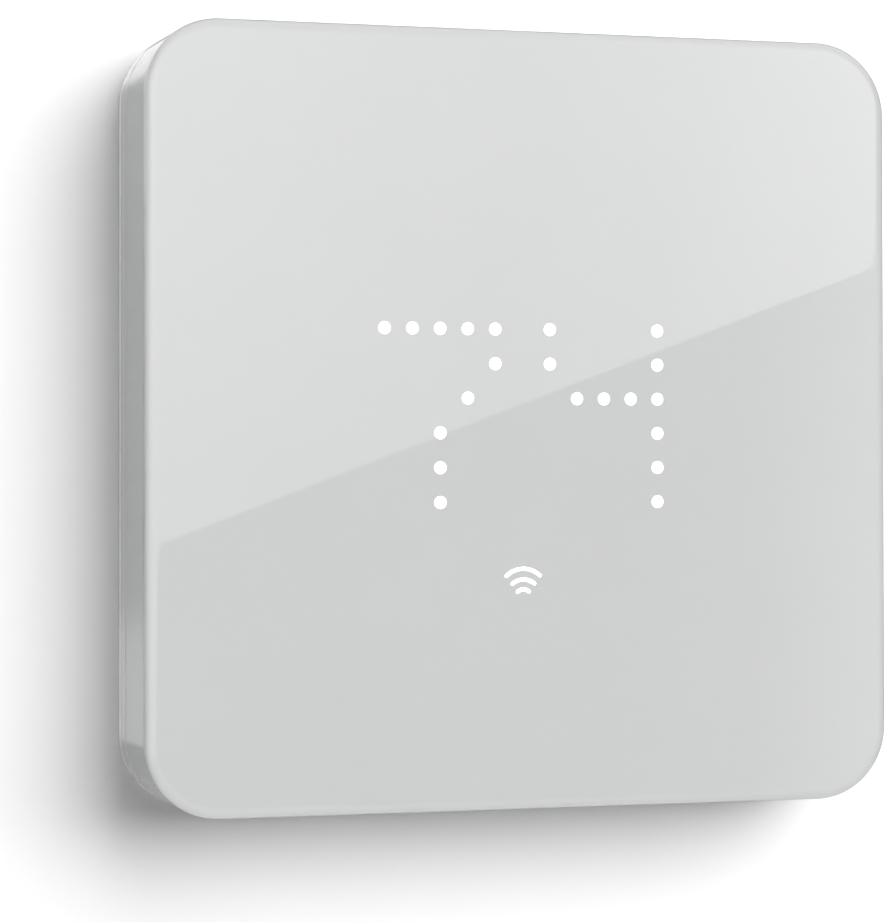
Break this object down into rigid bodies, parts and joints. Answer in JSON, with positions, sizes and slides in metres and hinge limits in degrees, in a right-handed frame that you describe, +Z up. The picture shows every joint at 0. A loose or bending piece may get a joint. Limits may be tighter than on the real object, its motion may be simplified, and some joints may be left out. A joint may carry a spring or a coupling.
{
  "type": "wall thermostat",
  "caption": "Thin square wall thermostat with rounded corners, a glossy touch front and a dot-matrix display, clipped onto a wall plate with push-in wire terminals.",
  "frame": {"origin": "on the wall, in the middle of the wall plate's back face", "axes": "+X to the right and +Z up as seen from the room, +Y into the wall; the front face looks along -Y"},
  "size_m": [0.094, 0.017, 0.094],
  "materials": {
    "front_gloss": "glossy pale grey-white, like moulded acrylic or coated glass",
    "side_gloss": "smooth pale grey with a soft gloss",
    "plate_matte": "pale grey, fine matt",
    "display_light": "translucent white, lit from behind",
    "touch_film": "amber polyimide film",
    "black_plastic": "black moulded plastic",
    "board_green": "green solder mask",
    "terminal_grey": "mid grey moulded plastic",
    "button_orange": "orange moulded plastic",
    "steel": "bright spring and screw steel",
    "nickel": "nickel-plated sheet metal",
    "cell_jacket": "plain printed jacket on a steel can"
  },
  "bodies": {
    "wall_side": {"wall_plate": "plate_matte", "base_board": "board_green", "base_connector": "black_plastic", "terminal_block_left": "terminal_grey", "terminal_block_right": "terminal_grey", "wire_clamp_left_1": "steel", "wire_clamp_left_2": "steel", "wire_clamp_left_3": "steel", "wire_clamp_left_4": "steel", "wire_clamp_right_1": "steel", "wire_clamp_right_2": "steel", "wire_clamp_right_3": "steel", "wire_clamp_right_4": "steel"},
    "head": {"front_panel": "front_gloss", "mid_frame": "side_gloss", "rear_cover": "side_gloss", "display_diffuser": "display_light", "touch_film": "touch_film", "display_baffle": "black_plastic", "head_connector": "black_plastic", "processor_chip": "black_plastic", "storage_capacitor": "black_plastic", "temperature_sensor": "black_plastic", "reset_switch": "black_plastic", "relay_1": "black_plastic", "relay_2": "black_plastic", "relay_3": "black_plastic", "relay_4": "black_plastic", "led_board": "board_green", "main_board": "board_green", "cover_screw_1": "steel", "cover_screw_2": "steel", "cover_screw_3": "steel", "cover_screw_4": "steel", "radio_module": "nickel", "battery_bridge_left": "nickel", "battery_bridge_right": "nickel", "battery_contact_left_inner": "nickel", "battery_contact_left_outer": "nickel", "battery_contact_right_inner": "nickel", "battery_contact_right_outer": "nickel", "battery_left_inner": "cell_jacket", "battery_left_outer": "cell_jacket", "battery_right_inner": "cell_jacket", "battery_right_outer": "cell_jacket"},
    "release_button_left_1_body": {"release_button_left_1": "button_orange"},
    "release_button_left_2_body": {"release_button_left_2": "button_orange"},
    "release_button_left_3_body": {"release_button_left_3": "button_orange"},
    "release_button_left_4_body": {"release_button_left_4": "button_orange"},
    "release_button_right_1_body": {"release_button_right_1": "button_orange"},
    "release_button_right_2_body": {"release_button_right_2": "button_orange"},
    "release_button_right_3_body": {"release_button_right_3": "button_orange"},
    "release_button_right_4_body": {"release_button_right_4": "button_orange"},
    "reset_button_body": {"reset_button": "plate_matte"}
  },
  "joints": [
    {"name": "head_release", "type": "slide", "parent": "wall_side", "child": "head", "axis": [0, -1, 0], "range_m": [0, 0.06]},
    {"name": "press_left_1", "type": "slide", "parent": "wall_side", "child": "release_button_left_1_body", "axis": [0, 1, 0], "range_m": [0, 0.0012], "stiffness_N_per_m": 1500},
    {"name": "press_left_2", "type": "slide", "parent": "wall_side", "child": "release_button_left_2_body", "axis": [0, 1, 0], "range_m": [0, 0.0012], "stiffness_N_per_m": 1500},
    {"name": "press_left_3", "type": "slide", "parent": "wall_side", "child": "release_button_left_3_body", "axis": [0, 1, 0], "range_m": [0, 0.0012], "stiffness_N_per_m": 1500},
    {"name": "press_left_4", "type": "slide", "parent": "wall_side", "child": "release_button_left_4_body", "axis": [0, 1, 0], "range_m": [0, 0.0012], "stiffness_N_per_m": 1500},
    {"name": "press_right_1", "type": "slide", "parent": "wall_side", "child": "release_button_right_1_body", "axis": [0, 1, 0], "range_m": [0, 0.0012], "stiffness_N_per_m": 1500},
    {"name": "press_right_2", "type": "slide", "parent": "wall_side", "child": "release_button_right_2_body", "axis": [0, 1, 0], "range_m": [0, 0.0012], "stiffness_N_per_m": 1500},
    {"name": "press_right_3", "type": "slide", "parent": "wall_side", "child": "release_button_right_3_body", "axis": [0, 1, 0], "range_m": [0, 0.0012], "stiffness_N_per_m": 1500},
    {"name": "press_right_4", "type": "slide", "parent": "wall_side", "child": "release_button_right_4_body", "axis": [0, 1, 0], "range_m": [0, 0.0012], "stiffness_N_per_m": 1500},
    {"name": "press_reset", "type": "slide", "parent": "head", "child": "reset_button_body", "axis": [0, -1, 0], "range_m": [0, 0.00025], "stiffness_N_per_m": 6000}
  ]
}
